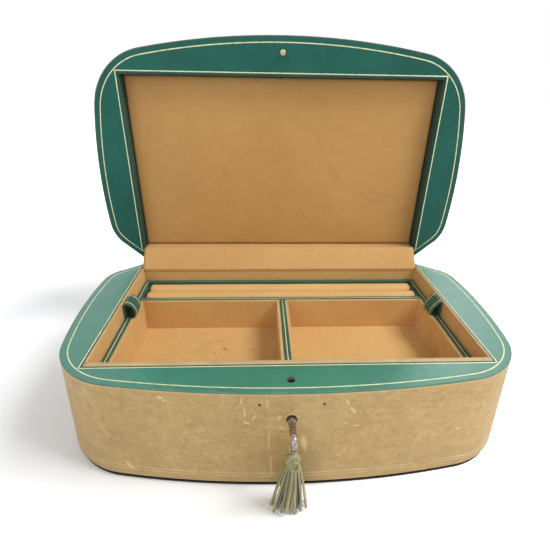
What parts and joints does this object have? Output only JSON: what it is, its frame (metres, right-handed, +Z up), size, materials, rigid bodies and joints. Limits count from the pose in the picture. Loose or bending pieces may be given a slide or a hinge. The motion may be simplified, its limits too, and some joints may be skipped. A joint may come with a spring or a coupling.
{
  "type": "jewelry box",
  "caption": "Leather-covered jewelry box with a bowed plan, hinged lid, padded recess, lift-out tray with ring rolls, lock, key and tassel.",
  "frame": {"origin": "on the surface that the base rests on, under the middle of the rectangular well", "axes": "+X to the right along the length, +Y from the lock towards the hinge, +Z up"},
  "size_m": [0.3642, 0.2611, 0.2956],
  "materials": {
    "tan_leather": "worn khaki tan with fine grain",
    "strip_leather": "smooth golden tan",
    "green_leather": "deep green, glossy on the rim, with gold tooled lines",
    "dark_green_leather": "dark green",
    "padding": "soft tan over padding",
    "board": "stiff board",
    "base_sheet": "dark thin base sheet",
    "wood": "plain planed",
    "steel": "plain",
    "polished_steel": "polished",
    "eyelet_brass": "pale, rubbed",
    "stud_brass": "satin",
    "tassel_leather": "khaki, green-grey on the back"
  },
  "bodies": {
    "case": {"case_leather": "tan_leather", "lining_front": "tan_leather", "lining_left": "tan_leather", "lining_right": "tan_leather", "lining_rear": "tan_leather", "lining_floor": "tan_leather", "hinge_strip": "strip_leather", "rim_leather": "green_leather", "tray_ledge_left": "dark_green_leather", "tray_ledge_right": "dark_green_leather", "bottom_cover": "base_sheet", "outer_wall": "wood", "floor_board": "wood", "rim_board": "wood", "well_frame": "wood", "lock_case": "steel", "hinge_leaf_case": "steel", "hinge_pin": "steel", "hinge_screws_case": "steel", "lock_pins": "steel", "keyhole_eyelet": "eyelet_brass"},
    "lid": {"lid_leather": "tan_leather", "lid_board": "wood", "lid_frame": "wood", "lid_facing": "green_leather", "lid_recess_trim": "dark_green_leather", "lid_pad": "padding", "catch_stud": "stud_brass", "hinge_leaf_lid": "steel", "hinge_screws_lid": "steel"},
    "tray": {"tray_frame": "green_leather", "tray_floor": "board", "cross_partition": "green_leather", "center_divider": "green_leather", "compartment_left": "tan_leather", "compartment_right": "tan_leather", "lift_loop_left": "green_leather", "lift_loop_right": "green_leather", "ring_roll_front": "padding", "ring_roll_rear": "padding", "ring_section_cheeks": "dark_green_leather", "ring_section_floor": "tan_leather"},
    "bolt": {"lock_bolt": "steel"},
    "plug": {"lock_plug": "steel"},
    "key": {"key": "polished_steel"},
    "tassel_loop": {"tassel_loop": "tassel_leather"},
    "tassel": {"tassel_head": "tassel_leather", "tassel_strips": "tassel_leather"}
  },
  "joints": [
    {"name": "lid_hinge", "type": "hinge", "parent": "case", "child": "lid", "pos_m": [0, 0.0973, 0.08515], "axis": [-1, 0, 0], "range_deg": [-90, 0], "deforming": ["hinge_strip"]},
    {"name": "tray_lift", "type": "slide", "parent": "case", "child": "tray", "axis": [0, 0, 1], "range_m": [0, 0.08]},
    {"name": "key_turn", "type": "hinge", "parent": "case", "child": "plug", "pos_m": [-0.0022, -0.11, 0.064], "axis": [0, 1, 0], "range_deg": [0, 90]},
    {"name": "bolt_slide", "type": "slide", "parent": "case", "child": "bolt", "axis": [1, 0, 0], "range_m": [0, 0.00848]},
    {"name": "key_withdraw", "type": "slide", "parent": "plug", "child": "key", "axis": [0, -1, 0], "range_m": [0, 0.018]},
    {"name": "tassel_turn", "type": "hinge", "parent": "key", "child": "tassel_loop", "pos_m": [-0.0022, -0.13341, 0.0596], "axis": [0, 1, 0], "range_deg": [-95, 30]},
    {"name": "tassel_swing", "type": "hinge", "parent": "tassel_loop", "child": "tassel", "pos_m": [-0.0022, -0.13341, 0.05455], "axis": [1, 0, 0], "range_deg": [-75, 5]}
  ],
  "couplings": [
    {"joint": "key_turn", "follows": "bolt_slide", "rad_per_m": 185.12}
  ]
}
